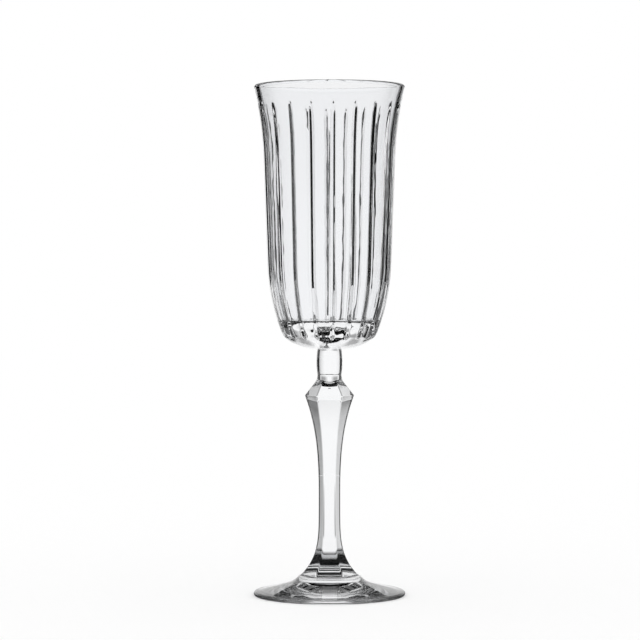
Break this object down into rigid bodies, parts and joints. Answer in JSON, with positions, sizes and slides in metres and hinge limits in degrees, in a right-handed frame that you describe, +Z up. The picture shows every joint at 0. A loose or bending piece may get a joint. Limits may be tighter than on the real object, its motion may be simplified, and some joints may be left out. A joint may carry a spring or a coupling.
{
  "type": "champagne flute",
  "caption": "Tall stemmed drinking glass with a flared, grooved bowl, a round collar, a six-sided stem with a knop, and a round foot.",
  "frame": {"origin": "centre of the ring under the foot that the glass rests on", "axes": "+Z up along the axis of the stem and bowl; one flat side of the stem faces -Y"},
  "size_m": [0.064, 0.064, 0.2155],
  "materials": {
    "glass": "fire polished"
  },
  "bodies": {
    "root": {"bowl": "glass", "collar": "glass", "stem": "glass", "foot": "glass"}
  },
  "joints": []
}
